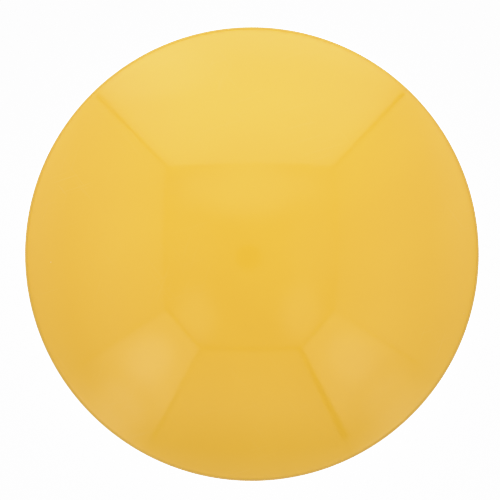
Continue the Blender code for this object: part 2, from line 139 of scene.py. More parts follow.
def turned(profile, segments, closed=False):
    """A piece turned about Z from (radius, height) points.

    segments is a count or a list of angles. A third value, a hexagon's corner radius, cuts the
    ring down to that hexagon. An open profile starts and ends on the axis.
    """
    angles = even_angles(segments) if isinstance(segments, int) else segments
    shape, rings = bmesh.new(), []
    for point in profile:
        radius, height = point[:2]
        if radius < 1e-6:
            rings.append([shape.verts.new((0, 0, height))])
            continue
        corners = []
        for angle in angles:
            reach = radius
            if len(point) > 2:
                flat = angle % (math.pi / 3) - math.pi / 6
                reach = min(radius, point[2] * math.cos(math.pi / 6) / math.cos(flat))
            corners.append(shape.verts.new((reach * math.cos(angle), reach * math.sin(angle),
                                            height)))
        rings.append(corners)
    pairs = list(zip(rings, rings[1:]))
    if closed:
        pairs.append((rings[-1], rings[0]))
    count = len(angles)
    for low, high in pairs:
        for step in range(count):
            after = (step + 1) % count
            if len(low) == 1 and len(high) == 1:
                continue
            if len(low) == 1:
                shape.faces.new((low[0], high[step], high[after]))
            elif len(high) == 1:
                shape.faces.new((low[step], high[0], low[after]))
            else:
                shape.faces.new((low[step], high[step], high[after], low[after]))
    bmesh.ops.recalc_face_normals(shape, faces=shape.faces)
    return shape


def plug(radius, bottom, top, segments):
    return turned([(0, bottom), (radius, bottom), (radius, top), (0, top)], segments)


def block(inner, outer, bottom, top, width, turn):
    """An upright wall along a radius, turned about Z by an angle in degrees."""
    shape = bmesh.new()
    stand = (Matrix.Rotation(math.radians(turn), 4, "Z")
             @ Matrix.Translation(((inner + outer) / 2, 0, (bottom + top) / 2))
             @ Matrix.Diagonal((outer - inner, width, top - bottom, 1)))
    bmesh.ops.create_cube(shape, size=1.0, matrix=stand)
    return shape


def moved(shape, x, y, turn=0.0, z=0.0):
    """Turns a shape about Z by degrees, then moves it."""
    shape.transform(Matrix.Translation((x, y, z)) @ Matrix.Rotation(math.radians(turn), 4, "Z"))
    return shape


def joined(shapes):
    """One bmesh of several; each is used up."""
    whole, store = bmesh.new(), bpy.data.meshes.new("store")
    for shape in shapes:
        shape.to_mesh(store)
        shape.free()
        whole.from_mesh(store)
    bpy.data.meshes.remove(store)
    return whole


def carved(shape, tools, operation):
    """The exact Boolean of a shape with several at once; all are used up."""
    holders = []
    for number, source in enumerate((shape, joined(tools))):
        mesh = bpy.data.meshes.new(f"operand_{number}")
        source.to_mesh(mesh)
        source.free()
        holder = bpy.data.objects.new(f"operand_{number}", mesh)
        bpy.context.collection.objects.link(holder)
        holders.append(holder)
    modifier = holders[0].modifiers.new("combine", "BOOLEAN")
    modifier.operation = operation
    modifier.solver = "EXACT"
    modifier.object = holders[1]
    depsgraph = bpy.context.evaluated_depsgraph_get()
    result = bmesh.new()
    result.from_object(holders[0], depsgraph)
    for holder in holders:
        mesh = holder.data
        bpy.data.objects.remove(holder)
        bpy.data.meshes.remove(mesh)
    return result


def on_circle(pitch, count, first_angle=0.0):
    """The (angle, x, y) of places spread evenly on a circle."""
    angles = [first_angle + number * 360.0 / count for number in range(count)]
    return [(angle, pitch * math.cos(math.radians(angle)), pitch * math.sin(math.radians(angle)))
            for angle in angles]


def piece(name, shape, look, replaced, at=(0, 0, 0), turn=0.0, sharp=32.0, body="stone"):
    """Makes the object of a shape given in millimetres and ties it to the frame."""
    bmesh.ops.scale(shape, vec=(MM, MM, MM), verts=shape.verts)
    mesh = bpy.data.meshes.new(name)
    shape.to_mesh(mesh)
    shape.free()
    mesh.materials.append(look)
    mesh.shade_smooth()
    mesh.set_sharp_from_angle(angle=math.radians(sharp))
    made = bpy.data.objects.new(name, mesh)
    bpy.context.collection.objects.link(made)
    made.location = Vector(at) * MM
    made.rotation_euler = (0, 0, math.radians(turn))
    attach(made, body)
    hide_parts(replaced)
    return made


# Materials

class Look:
    """A material on a Principled shader. Coordinates are the piece's own, in metres."""

    def __init__(self, name, colour, roughness, metallic=0.0, **sockets):
        self.material = bpy.data.materials.new(name)
        self.material.use_nodes = True
        self.material.diffuse_color = (*colour, 1.0)
        self.tree = self.material.node_tree
        self.shader = self.tree.nodes["Principled BSDF"]
        sockets.update(Base_Color=(*colour, 1.0), Roughness=roughness, Metallic=metallic)
        for socket, value in sockets.items():
            self.shader.inputs[socket.replace("_", " ")].default_value = value
        self.place = self.tree.nodes.new("ShaderNodeTexCoord").outputs["Object"]
        self.height = None

    def put(self, socket, value):
        if isinstance(value, bpy.types.NodeSocket):
            self.tree.links.new(value, socket)
        elif isinstance(value, tuple) and len(value) == 3 and socket.type == "RGBA":
            socket.default_value = (*value, 1.0)
        else:
            socket.default_value = value

    def node(self, kind, sockets, **settings):
        made = self.tree.nodes.new("ShaderNode" + kind)
        for setting, value in settings.items():
            setattr(made, setting, value)
        for socket, value in sockets.items():
            self.put(made.inputs[socket], value)
        return made

    def stretched(self, scale, turn=0.0):
        """The place turned about Z by degrees, then scaled along each axis."""
        made = self.node("Mapping", {"Vector": self.place,
                                     "Rotation": (0.0, 0.0, math.radians(turn)),
                                     "Scale": tuple(1.0 / value for value in scale)},
                         vector_type="TEXTURE")
        return made.outputs["Vector"]

    def noise(self, scale, detail=2.0, vector=None, roughness=0.5, distortion=0.0):
        made = self.node("TexNoise", {"Vector": vector or self.place, "Scale": scale,
                                      "Detail": detail, "Roughness": roughness,
                                      "Distortion": distortion})
        return made.outputs["Fac"]

    def cells(self, scale, feature="F1"):
        return self.node("TexVoronoi", {"Vector": self.place, "Scale": scale}, feature=feature)

    def remap(self, value, low, high, new_low=0.0, new_high=1.0, smooth=True):
        made = self.node("MapRange", {"Value": value, "From Min": low, "From Max": high,
                                      "To Min": new_low, "To Max": new_high},
                         interpolation_type="SMOOTHSTEP" if smooth else "LINEAR")
        return made.outputs["Result"]

    def maths(self, operation, first, second=0.0):
        made = self.node("Math", {0: first, 1: second}, operation=operation)
        return made.outputs["Value"]

    def times(self, first, second):
        return self.maths("MULTIPLY", first, second)

    def mixed(self, factor, first, second):
        made = self.node("Mix", {}, data_type="RGBA")
        self.put(made.inputs[0], factor)
        self.put(made.inputs[6], first)
        self.put(made.inputs[7], second)
        return made.outputs[2]

    def part(self, axis):
        """One coordinate of the place on the piece."""
        return self.node("SeparateXYZ", {"Vector": self.place}).outputs[axis]

    def reach(self):
        """Distance from the piece's own Z axis."""
        flat = self.node("VectorMath", {0: self.place, 1: (1.0, 1.0, 0.0)}, operation="MULTIPLY")
        length = self.node("VectorMath", {0: flat.outputs["Vector"]}, operation="LENGTH")
        return length.outputs["Value"]

    def streaks(self, along, across, turn, low, high):
        """Long thin marks along one direction in the plane of the floor, 0 to 1."""
        vector = self.stretched((along, across, along), turn)
        return self.remap(self.noise(1.0, 1.0, vector), low, high)

    def colour(self, value):
        self.put(self.shader.inputs["Base Color"], value)

    def roughness(self, value):
        self.put(self.shader.inputs["Roughness"], value)

    def bump(self, height, distance):
        """Adds a relief, distance metres high where height goes from 0 to 1."""
        made = self.node("Bump", {"Height": height, "Distance": distance, "Strength": 1.0})
        if self.height:
            self.tree.links.new(self.height, made.inputs["Normal"])
        self.height = made.outputs["Normal"]
        self.put(self.shader.inputs["Normal"], self.height)


def cover_look():
    """Glossy moulded plastic: faint flow, darker grains, orange peel, hairlines, dust, rim rubs."""
    yellow = (0.848, 0.478, 0.042)
    look = Look("cover_gloss_yellow", yellow, 0.12, IOR=1.5)
    flow = look.remap(look.noise(9.0, 3.0, distortion=0.6), 0.3, 0.7)
    tint = look.mixed(flow, (0.841, 0.471, 0.0395), (0.861, 0.488, 0.044))

    grains = look.cells(380.0)
    grain_here = look.node("SeparateColor", {"Color": grains.outputs["Color"]}).outputs[0]
    grain = look.times(look.remap(grains.outputs["Distance"], 0.10, 0.04),
                       look.maths("GREATER_THAN", grain_here, 0.93))
    tint = look.mixed(look.times(grain, 0.10), tint, (0.55, 0.28, 0.02))

    motes = look.cells(52.0)
    parts = look.node("SeparateColor", {"Color": motes.outputs["Color"]})
    radius = look.remap(parts.outputs[1], 0.0, 1.0, 0.009, 0.021, smooth=False)
    inside = look.maths("SUBTRACT", radius, motes.outputs["Distance"])
    mote = look.times(look.remap(inside, 0.0, 0.006),
                      look.maths("GREATER_THAN", parts.outputs[0], 0.30))

    scratch = None
    for turn, across, low in ((17.0, 950.0, 0.685), (71.0, 1150.0, 0.70), (128.0, 1050.0, 0.69)):
        marks = look.streaks(26.0, across, turn, low, low + 0.05)
        scratch = marks if scratch is None else look.maths("MAXIMUM", scratch, marks)
    patches = look.remap(look.noise(17.0, 2.0), 0.42, 0.66)
    scratch = look.times(scratch, patches)

    height = look.part(2)
    low_rim = look.remap(height, 0.058, 0.043)
    rub_vector = look.stretched((30.0, 30.0, 900.0))
    rubs = look.times(look.remap(look.noise(1.0, 3.0, rub_vector), 0.56, 0.68), low_rim)

    tint = look.mixed(look.times(rubs, 0.35), tint, (0.78, 0.56, 0.20))
    tint = look.mixed(look.times(scratch, 0.05), tint, (0.95, 0.72, 0.30))
    tint = look.mixed(look.times(mote, 0.55), tint, (0.86, 0.80, 0.62))
    look.colour(tint)

    smears = look.remap(look.noise(22.0, 3.0, distortion=1.2), 0.35, 0.75, 0.0, 0.018)
    gloss = look.maths("ADD", look.remap(look.noise(160.0, 2.0), 0.3, 0.7, 0.056, 0.066), smears)
    gloss = look.maths("ADD", gloss, look.times(scratch, 0.10))
    gloss = look.maths("ADD", gloss, look.times(rubs, 0.28))
    look.roughness(look.maths("ADD", gloss, look.times(mote, 0.4)))

    look.bump(look.noise(430.0, 1.0), 5e-6)
    look.bump(scratch, -2e-6)
    look.bump(rubs, -1.2e-5)
    look.bump(mote, 4e-5)
    return look.material


def base_look():
    """Textured dark grey plastic: spark-eroded grain, scuffs where it rests, dust in patches."""
    look = Look("base_grained_grey", (0.045, 0.047, 0.052), 0.5)
    grain = look.noise(1500.0, 2.0)
    patches = look.remap(look.noise(14.0, 4.0), 0.35, 0.7)
    tint = look.mixed(patches, (0.040, 0.042, 0.047), (0.056, 0.058, 0.063))
    underside = look.remap(look.part(2), 0.0095, 0.0082)
    rubs = look.maths("MAXIMUM", look.streaks(22.0, 800.0, 33.0, 0.62, 0.72),
                      look.streaks(18.0, 900.0, 104.0, 0.63, 0.73))
    rubs = look.times(look.times(rubs, underside),
                      look.remap(look.noise(21.0, 2.0), 0.40, 0.62))
    tint = look.mixed(look.times(rubs, 0.5), tint, (0.16, 0.16, 0.165))
    dust = look.times(look.remap(look.noise(70.0, 5.0, roughness=0.7), 0.5, 0.8), 0.35)
    look.colour(look.mixed(dust, tint, (0.115, 0.11, 0.10)))
    rough = look.remap(grain, 0.3, 0.7, 0.46, 0.58)
    look.roughness(look.maths("SUBTRACT", rough, look.times(rubs, 0.12)))
    look.bump(grain, 5e-5)
    look.bump(rubs, -3e-5)
    return look.material


def rubber_look():
    """Matt rubber with a bloom, a fine skin and pale scuffs on its crest."""
    look = Look("black_rubber", (0.018, 0.018, 0.019), 0.7)
    bloom = look.remap(look.noise(24.0, 4.0), 0.35, 0.75)
    tint = look.mixed(bloom, (0.015, 0.015, 0.016), (0.030, 0.030, 0.031))
    crest = look.remap(look.reach(), 0.1408, 0.1424)
    rub_vector = look.stretched((90.0, 90.0, 900.0))
    rubs = look.times(look.remap(look.noise(1.0, 2.0, rub_vector), 0.58, 0.72), crest)
    tint = look.mixed(look.times(rubs, 0.4), tint, (0.075, 0.075, 0.073))
    look.colour(tint)
    look.roughness(look.remap(look.noise(300.0, 3.0), 0.3, 0.7, 0.62, 0.80))
    look.bump(look.noise(1100.0, 3.0, roughness=0.65), 4e-5)
    look.bump(rubs, -4e-5)
    return look.material


def zinc_look():
    """Zinc plate: spangled brightness, a trace of passivation colour, small dull spots."""
    look = Look("zinc_plate", (0.62, 0.63, 0.65), 0.32, 1.0)
    spangle = look.node("SeparateColor",
                        {"Color": look.cells(420.0).outputs["Color"]}).outputs[0]
    cloud = look.remap(look.noise(120.0, 4.0, distortion=1.0), 0.3, 0.7)
    tint = look.mixed(cloud, (0.56, 0.58, 0.61), (0.66, 0.655, 0.63))
    tint = look.mixed(look.remap(spangle, 0.0, 1.0, 0.0, 0.22, smooth=False), tint,
                      (0.74, 0.745, 0.76))
    spots = look.remap(look.noise(260.0, 5.0, roughness=0.7), 0.60, 0.72)
    look.colour(look.mixed(look.times(spots, 0.45), tint, (0.36, 0.355, 0.34)))
    rough = look.remap(look.noise(300.0, 3.0), 0.3, 0.7, 0.24, 0.38)
    look.roughness(look.maths("ADD", rough, look.times(spots, 0.2)))
    look.bump(look.noise(900.0, 3.0), 1.2e-5)
    return look.material


def black_steel_look():
    """Black oxide on screws, worn to steel in fine rubs."""
    look = Look("black_oxide_steel", (0.035, 0.035, 0.038), 0.36, 0.85)
    worn = look.remap(look.noise(700.0, 4.0, roughness=0.7), 0.58, 0.70)
    tint = look.mixed(look.remap(look.noise(200.0, 3.0), 0.3, 0.7), (0.028, 0.028, 0.031),
                      (0.055, 0.054, 0.055))
    look.colour(look.mixed(look.times(worn, 0.6), tint, (0.34, 0.33, 0.32)))
    look.roughness(look.remap(look.noise(500.0, 3.0), 0.3, 0.7, 0.28, 0.46))
    look.bump(look.noise(1600.0, 3.0), 8e-6)
    return look.material


def steel_look(name, colour, gloss):
    """Bright hardened steel with fine lapping lines and a few dull marks."""
    look = Look(name, colour, gloss, 1.0)
    dark = tuple(0.8 * value for value in colour)
    film = look.remap(look.noise(170.0, 4.0, distortion=0.8), 0.45, 0.75)
    look.colour(look.mixed(look.times(film, 0.5), (*colour, 1.0), (*dark, 1.0)))
    lines = look.maths("MAXIMUM", look.streaks(90.0, 4200.0, 24.0, 0.63, 0.70),
                       look.streaks(80.0, 3800.0, 111.0, 0.64, 0.71))
    rough = look.remap(look.noise(400.0, 3.0), 0.3, 0.7, 0.8 * gloss, 1.3 * gloss)
    look.roughness(look.maths("ADD", rough, look.times(lines, 0.15)))
    look.bump(lines, -2e-6)
    return look.material


def ballast_look():
    """Cast iron under black paint: cast skin, chips to rust and bare metal."""
    look = Look("painted_cast_iron", (0.05, 0.052, 0.055), 0.55)
    skin = look.noise(330.0, 5.0, roughness=0.6)
    chips = look.remap(look.noise(95.0, 6.0, roughness=0.75), 0.63, 0.68)
    tint = look.mixed(look.remap(skin, 0.3, 0.7), (0.042, 0.044, 0.047), (0.068, 0.070, 0.074))
    look.colour(look.mixed(chips, tint, (0.15, 0.075, 0.045)))
    look.roughness(look.maths("ADD", look.remap(skin, 0.3, 0.7, 0.42, 0.6),
                              look.times(chips, 0.25)))
    look.bump(skin, 3e-4)
    look.bump(chips, -1e-4)
    return look.material


def felt_look():
    """Off-white wool felt, matted and slightly oily."""
    look = Look("white_felt", (0.66, 0.63, 0.56), 0.95, Sheen_Weight=0.4)
    fibres = look.noise(2600.0, 5.0, roughness=0.75, distortion=2.0)
    oil = look.remap(look.noise(180.0, 3.0), 0.45, 0.7)
    tint = look.mixed(look.remap(fibres, 0.3, 0.7), (0.52, 0.49, 0.43), (0.76, 0.73, 0.66))
    look.colour(look.mixed(look.times(oil, 0.4), tint, (0.30, 0.27, 0.21)))
    look.roughness(look.remap(oil, 0.0, 1.0, 0.96, 0.8))
    look.bump(fibres, 2e-4)
    return look.material


def foam_look():
    """Grey open-cell foam; its pores are sunk and painted darker, a painted shade inside them."""
    look = Look("grey_foam", (0.13, 0.13, 0.135), 0.95)
    pores = look.cells(650.0, feature="DISTANCE_TO_EDGE").outputs["Distance"]
    pore_relief_and_shade = look.remap(pores, 0.02, 0.14)
    # Painted shade: the sunk pore centres take the dark colour, the thin struts between them the
    # pale one
    look.colour(look.mixed(pore_relief_and_shade, (0.20, 0.20, 0.205), (0.05, 0.05, 0.053)))
    look.roughness(look.remap(look.noise(500.0), 0.3, 0.7, 0.88, 1.0))
    look.bump(pore_relief_and_shade, -6e-4)
    return look.material


# Cover, base and bumper

def dome_height(radius, depth=0.0):
    return DOME_CENTRE + math.sqrt((DOME_RADIUS - depth) ** 2 - radius ** 2)


def draped(shape):
    """Moves the high corners of a boss or rib into the middle of the dome's wall."""
    for corner in shape.verts:
        if corner.co.z > INTO_DOME - 1:
            corner.co.z = dome_height(math.hypot(corner.co.x, corner.co.y), WALL / 2)
    return shape


def cover_shape():
    fillet_at = COVER_RADIUS - EDGE_FILLET
    fillet_height = dome_height(fillet_at, EDGE_FILLET)
    rim_angle = math.degrees(math.asin(fillet_at / (DOME_RADIUS - EDGE_FILLET)))
    inner = COVER_RADIUS - WALL
    profile = arc(DOME_RADIUS, 0.0, rim_angle, 48, 0.0, DOME_CENTRE)
    profile += arc(EDGE_FILLET, rim_angle, 90.0, 14, fillet_at, fillet_height)[1:]
    profile += [(COVER_RADIUS, height) for height in (60.0, 55.0, 50.0, 46.0)]
    profile += rounded([(COVER_RADIUS, 46.0), (COVER_RADIUS, SKIRT_BOTTOM, 0.6),
                        (inner, SKIRT_BOTTOM, 0.4), (inner, 46.0)], False, 4)[1:]
    inside = [inner + (COLLAR_OUTER - inner) * step / 12 for step in range(13)]
    profile += [(inner, 56.0)] + [(radius, dome_height(radius, WALL)) for radius in inside]
    profile += [(COLLAR_OUTER, COLLAR_BOTTOM), (COLLAR_INNER, COLLAR_BOTTOM)]
    middle = [COLLAR_INNER * (1 - step / 5) for step in range(6)]
    profile += [(radius, dome_height(radius, WALL)) for radius in middle]
    shell = turned(profile, 240)

    bosses, ribs, holes = [], [], []
    for angle, x, y in on_circle(SHELL_PITCH, SHELL_COUNT):
        boss = turned([(0, BOSS_BOTTOM), (BOSS_RADIUS - 0.4, BOSS_BOTTOM),
                       (BOSS_RADIUS, BOSS_BOTTOM + 0.4), (BOSS_RADIUS, INTO_DOME),
                       (0, INTO_DOME)], 32)
        bosses.append(draped(moved(boss, x, y, TWIST)))
        inner_end, outer_end = (COLLAR_INNER + COLLAR_OUTER) / 2, SHELL_PITCH - 4.0
        rib = block(inner_end, outer_end, COVER_RIB_BOTTOM, INTO_DOME, RIB_THICKNESS, angle)
        ribs.append(draped(rib))
        bore = plug(BOSS_BORE, BOSS_BOTTOM - 1.3, BOSS_BORE_TOP, 24)
        holes.append(moved(bore, x, y, HOLE_TWIST))
    shell = carved(shell, bosses, "UNION")
    shell = carved(shell, ribs, "UNION")
    return carved(shell, holes, "DIFFERENCE")


def base_shape():
    grooves = []
    for inner, outer in BASE_GROOVES:
        grooves += [(inner, BASE_BOTTOM, 0.1), (inner + 0.3, BASE_BOTTOM + GROOVE_DEPTH),
                    (outer - 0.3, BASE_BOTTOM + GROOVE_DEPTH), (outer, BASE_BOTTOM, 0.1)]
    outline = grooves + [
        (FLOOR_RADIUS, BASE_BOTTOM, 0.8), (FLOOR_RADIUS + 1.5, BASE_BOTTOM + 1, 0.8),
        (RIM_RADIUS, RIM_TOP - 2, 1.0), (RIM_RADIUS, RIM_TOP, 0.5),
        (SPIGOT_RADIUS, RIM_TOP), (SPIGOT_RADIUS, SPIGOT_TOP, 0.5),
        (SPIGOT_INNER, SPIGOT_TOP, 0.5), (SPIGOT_INNER, RIM_TOP - 1, 2.0),
        (FLOOR_RADIUS - WALL, BASE_FLOOR, 2.0), (RING_RIB_OUTER, BASE_FLOOR, 0.6),
        (RING_RIB_OUTER, PARTING_HEIGHT, 0.4), (RING_RIB_INNER, PARTING_HEIGHT, 0.4),
        (RING_RIB_INNER, BASE_FLOOR, 0.6), (MIDDLE_POST_RADIUS, BASE_FLOOR, 0.6),
        (MIDDLE_POST_RADIUS, PARTING_HEIGHT, 0.4), (BOLT_HOLE, PARTING_HEIGHT),
        (BOLT_HOLE, BOLT_RECESS_TOP), (BOLT_RECESS_RADIUS, BOLT_RECESS_TOP, 0.4),
        (BOLT_RECESS_RADIUS, BASE_BOTTOM, 0.5)]
    shell = turned(rounded(outline), 240, True)
    posts, ribs, holes, pilots = [], [], [], []
    post_bottom, below = BASE_FLOOR - 2, BASE_BOTTOM - OVERCUT
    for angle, x, y in on_circle(SHELL_PITCH, SHELL_COUNT):
        post = plug(POST_RADIUS, post_bottom, PARTING_HEIGHT, 32)
        posts.append(moved(post, x, y, TWIST))
        ribs.append(block(RING_RIB_INNER + 1, SHELL_PITCH - POST_RADIUS + RIB_THICKNESS,
                          post_bottom, BASE_RIB_TOP, RIB_THICKNESS, angle))
        above = PARTING_HEIGHT + OVERCUT
        bore = turned([(0, below), (SCREW_SEAT_RADIUS + 1.5, below),
                       (SCREW_SEAT_RADIUS, below + 1.5), (SCREW_SEAT_RADIUS, SCREW_SEAT_TOP),
                       (SCREW_BORE, SCREW_SEAT_TOP), (SCREW_BORE, above), (0, above)], 40)
        holes.append(moved(bore, x, y, HOLE_TWIST))
    for angle, x, y in on_circle(UNIT_PITCH, UNIT_COUNT, UNIT_FIRST_ANGLE):
        seat = plug(UNIT_SEAT_RADIUS, post_bottom, UNIT_SEAT_TOP, 64)
        posts.append(moved(seat, x, y, TWIST))
        above = UNIT_SEAT_TOP + OVERCUT
        pocket = turned([(0, below), (UNIT_POCKET_RADIUS + 1.6, below),
                         (UNIT_POCKET_RADIUS, below + 1.6), (UNIT_POCKET_RADIUS, UNIT_POCKET_TOP),
                         (UNIT_BORE, UNIT_POCKET_TOP), (UNIT_BORE, above), (0, above)], 96)
        holes.append(moved(pocket, x, y, HOLE_TWIST))
        for _, dx, dy in on_circle(FLANGE_PITCH, FLANGE_COUNT, angle):
            pilot = plug(PILOT_RADIUS, UNIT_POCKET_TOP - 0.3, PILOT_TOP, 20)
            pilots.append(moved(pilot, x + dx, y + dy, TWIST))
    marks = [on_circle(pitch, count, first) for pitch, count, first in EJECTOR_MARKS]
    for _, x, y in sum(marks, []):
        mark = plug(EJECTOR_RADIUS, below, BASE_BOTTOM + EJECTOR_DEPTH, 40)
        holes.append(moved(mark, x, y, TWIST))
    shell = carved(shell, posts, "UNION")
    shell = carved(shell, ribs, "UNION")
    shell = carved(shell, holes, "DIFFERENCE")
    return carved(shell, pilots, "DIFFERENCE")


def bumper_shape():
    """D-section with a lip; its ends meet in a fine groove, and a mould line rings its crest."""
    splice = math.radians(SPLICE_ANGLE)
    near = [math.radians(value) for value in (-0.5, -0.2, -0.08, 0.0, 0.08, 0.2, 0.5)]
    angles = [angle for angle in even_angles(240) if abs(angle - splice) > math.radians(0.8)]
    angles = sorted(angles + [splice + offset for offset in near])
    bottom, top, crest = PARTING_HEIGHT, BUMPER_TOP, BUMPER_CREST
    middle = (bottom + top) / 2
    corners = [(BUMPER_INNER, bottom, 0.3), (crest - 4, bottom, 1.0),
               (crest - 0.8, bottom + 2, 2.0), (crest - 0.25, middle - 0.7, 1.0),
               (crest - 0.15, middle - 0.22), (crest, middle - 0.12), (crest, middle + 0.12),
               (crest - 0.15, middle + 0.22), (crest - 0.25, middle + 0.7, 1.0),
               (crest - 0.8, top - 2, 2.0), (crest - 4, top, 1.0), (LIP_OUTER, top, 0.2),
               (LIP_OUTER, LIP_TOP, 0.5), (BUMPER_INNER, LIP_TOP, 0.5)]
    shape = turned(rounded(corners, steps=5), angles, True)
    for corner in shape.verts:
        offset = abs(math.atan2(corner.co.y, corner.co.x) % math.tau - splice)
        outward = math.hypot(corner.co.x, corner.co.y)
        if offset < math.radians(0.1) and outward > crest - 5:
            depth = 0.35 if offset < math.radians(0.04) else 0.12
            corner.co.x *= 1 - depth / outward
            corner.co.y *= 1 - depth / outward
    return shape


# Fasteners

def screw_head(head_radius, head_height, socket, shank_radius, dome):
    """A socket screw's head; it points up and Z = 0 is under its head. Dome rounds its face."""
    floor, top = -0.35 * head_height, -head_height
    profile = [(0, floor + 0.25 * socket), (0.8 * socket, floor, socket), (socket, floor, socket),
               (socket, top + 0.12, socket), (socket * 1.12, top)]
    if dome:
        profile += rounded([(0.62 * head_radius, top), (head_radius, top + 0.25, 0.9),
                            (head_radius, 0.0, 0.1)], False, 4)
    else:
        profile += rounded([(0.88 * head_radius, top), (head_radius, top, 0.5),
                            (head_radius, 0.0, 0.2)], False, 3)
    return profile + [(shank_radius, 0.0)]


def threaded(profile, radius, start, end, pitch, depth):
    """Adds a shank with grooves for its thread from start to its end, which has a chamfer."""
    height = start
    while height + pitch < end - radius * 0.4:
        profile += [(radius, height), (radius, height + 0.1 * pitch),
                    (radius - depth, height + 0.45 * pitch),
                    (radius - depth, height + 0.55 * pitch), (radius, height + 0.9 * pitch)]
        height += pitch
    return profile + [(radius, end - radius * 0.4), (radius * 0.62, end), (0, end)]


def build_shell_screws(look):
    for number, (angle, x, y) in enumerate(on_circle(SHELL_PITCH, SHELL_COUNT), 1):
        profile = threaded(screw_head(*SHELL_HEAD, False), SHELL_HEAD[3], *SHELL_THREAD)
        piece(f"shell_screw_detailed_{number}", turned(profile, 36), look,
              f"shell_screw_{number}", (x, y, SHELL_SEAT), angle + 11.0 * number)


def build_flange_screws(number, angle, x, y, look):
    for screw, (_, dx, dy) in enumerate(on_circle(FLANGE_PITCH, FLANGE_COUNT, angle), 1):
        profile = threaded(screw_head(*FLANGE_HEAD, True), FLANGE_HEAD[3], *FLANGE_THREAD)
        piece(f"flange_screw_detailed_{number}_{screw}", turned(profile, 36), look,
              f"flange_screw_{number}_{screw}", (x + dx, y + dy, FLANGE_SEAT),
              angle + 17.0 * screw)


# Ballast

def build_ballast(looks):
    flat_rings = [("ballast_pad", 66.0, 30.3, 32.3, 0.4, "rubber", 96),
                  ("ballast_plate_lower", 95.0, 32.6, 40.6, 1.2, "ballast", 120),
                  ("ballast_plate_upper", 95.0, 40.9, 48.9, 1.2, "ballast", 120),
                  ("ballast_washer", 15.0, 49.2, 51.2, 0.35, "zinc", 64)]
    for name, outer, bottom, top, fillet, slot, segments in flat_rings:
        middle = [(outer + (BALLAST_HOLE - outer) * share, top) for share in (0.25, 0.5, 0.75)]
        corners = [(BALLAST_HOLE, bottom, fillet * 0.5), (outer, bottom, fillet),
                   (outer, top, fillet)] + middle + [(BALLAST_HOLE, top, fillet * 0.5)]
        piece(name + "_detailed", turned(rounded(corners), segments, True), looks[slot],
              name)

    wide = HEXAGON_RADIUS
    nut = [(5.3, 52.2), (6.0, 51.5), (8.6, 51.5, wide), (wide, 51.9, wide), (wide, 59.0, wide),
           (8.5, 59.5, wide), (6.0, 59.5), (5.3, 58.8)]
    piece("ballast_nut_detailed", turned(nut, 48, True), looks["zinc"], "ballast_nut")
    bolt = [(0, 9.0), (4.0, 9.0), (4.4, 8.8), (8.5, 8.8, wide), (wide, 9.35, wide),
            (wide, 14.8, wide), (9.3, 15.2, wide), (5.4, 15.2), (5.0, 15.6)]
    piece("ballast_bolt_detailed", turned(threaded(bolt, BOLT_RADIUS, *BOLT_THREAD), 48),
          looks["zinc"], "ballast_bolt")


def build_foam(look):
    """A foam ring squeezed between the upper plate and the dome, so its sides belly out."""
    top = dome_height(FOAM_OUTER, WALL) - GAP
    waist_inner, waist_outer = FOAM_INNER + FOAM_BULGE_IN, FOAM_OUTER - FOAM_BULGE_OUT
    shares = [step / 10 for step in range(10)]
    faces = [[(waist_inner + (waist_outer - waist_inner) * share, FOAM_BOTTOM) for share in shares]]
    faces.append([(waist_outer + FOAM_BULGE_OUT * math.sin(math.pi * share),
                   FOAM_BOTTOM + (top - FOAM_BOTTOM) * share) for share in shares])
    faces.append([(waist_outer + (waist_inner - waist_outer) * share, top) for share in shares])
    faces.append([(waist_inner - FOAM_BULGE_IN * math.sin(math.pi * share),
                   top + (FOAM_BOTTOM - top) * share) for share in shares])
    shape = turned(sum(faces, []), 120, True)
    for corner in shape.verts:
        if FOAM_BOTTOM + 0.5 < corner.co.z < top - 0.5:
            shift = 0.35 * noise.noise(corner.co * 0.35)
            outward = Vector((corner.co.x, corner.co.y, 0)).normalized()
            corner.co += outward * (shift - 0.35)
    made = piece("dome_damping_foam_detailed", shape, look, "dome_damping_foam", sharp=60.0)


# Ball units

def sphere(radius, columns, rows):
    profile = arc(radius, 0.0, 180.0, rows)
    profile[0], profile[-1] = (0.0, radius), (0.0, -radius)
    return turned(profile, columns)


